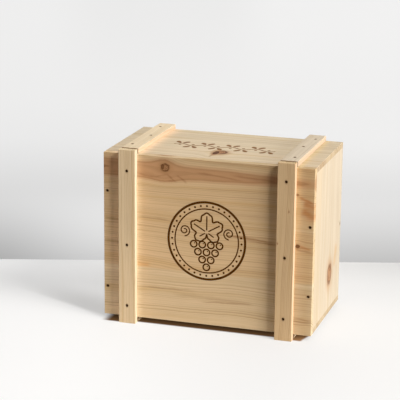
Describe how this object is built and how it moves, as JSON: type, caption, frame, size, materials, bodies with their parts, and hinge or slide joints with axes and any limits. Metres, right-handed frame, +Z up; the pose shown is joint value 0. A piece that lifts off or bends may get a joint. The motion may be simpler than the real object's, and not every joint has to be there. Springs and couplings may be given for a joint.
{
  "type": "wooden wine case",
  "caption": "Shallow pine box with battened panels that holds wine bottles lying in scalloped cradles; the nailed lid pulls off, and it stands on its long side or lies flat.",
  "frame": {"origin": "on the floor, under the middle of the outer box, with the case standing on a long side", "axes": "+X along the bottles, towards their necks; -Y out through the lid; +Z up"},
  "size_m": [0.35, 0.207, 0.2918],
  "materials": {
    "lid_pine": "planed, unvarnished",
    "wall_pine": "planed, unvarnished",
    "end_pine": "planed, unvarnished",
    "back_pine": "planed, unvarnished",
    "batten_pine": "planed, unvarnished",
    "cradle_pine": "sawn, unvarnished",
    "nail_steel": "dull, dark"
  },
  "bodies": {
    "case": {"upper_wall_front_board": "wall_pine", "upper_wall_middle_board": "wall_pine", "upper_wall_rear_board": "wall_pine", "lower_wall_front_board": "wall_pine", "lower_wall_middle_board": "wall_pine", "lower_wall_rear_board": "wall_pine", "left_end_front_board": "end_pine", "left_end_middle_board": "end_pine", "left_end_rear_board": "end_pine", "right_end_front_board": "end_pine", "right_end_middle_board": "end_pine", "right_end_rear_board": "end_pine", "back_lower_board": "back_pine", "back_middle_board": "back_pine", "back_upper_board": "back_pine", "upper_left_batten": "batten_pine", "upper_right_batten": "batten_pine", "lower_left_batten": "batten_pine", "lower_right_batten": "batten_pine", "upper_batten_nails": "nail_steel", "lower_batten_nails": "nail_steel", "back_panel_nails": "nail_steel", "back_body_cradle": "cradle_pine", "back_neck_cradle": "cradle_pine", "middle_body_cradle": "cradle_pine", "middle_neck_cradle": "cradle_pine"},
    "lid": {"lid_lower_board": "lid_pine", "lid_middle_board": "lid_pine", "lid_upper_board": "lid_pine", "lid_left_batten": "batten_pine", "lid_right_batten": "batten_pine", "lid_batten_nails": "nail_steel", "lid_fixing_nails": "nail_steel"}
  },
  "joints": [
    {"name": "lid_pull", "type": "slide", "parent": "case", "child": "lid", "axis": [0, -1, 0], "range_m": [0, 0.25]}
  ]
}
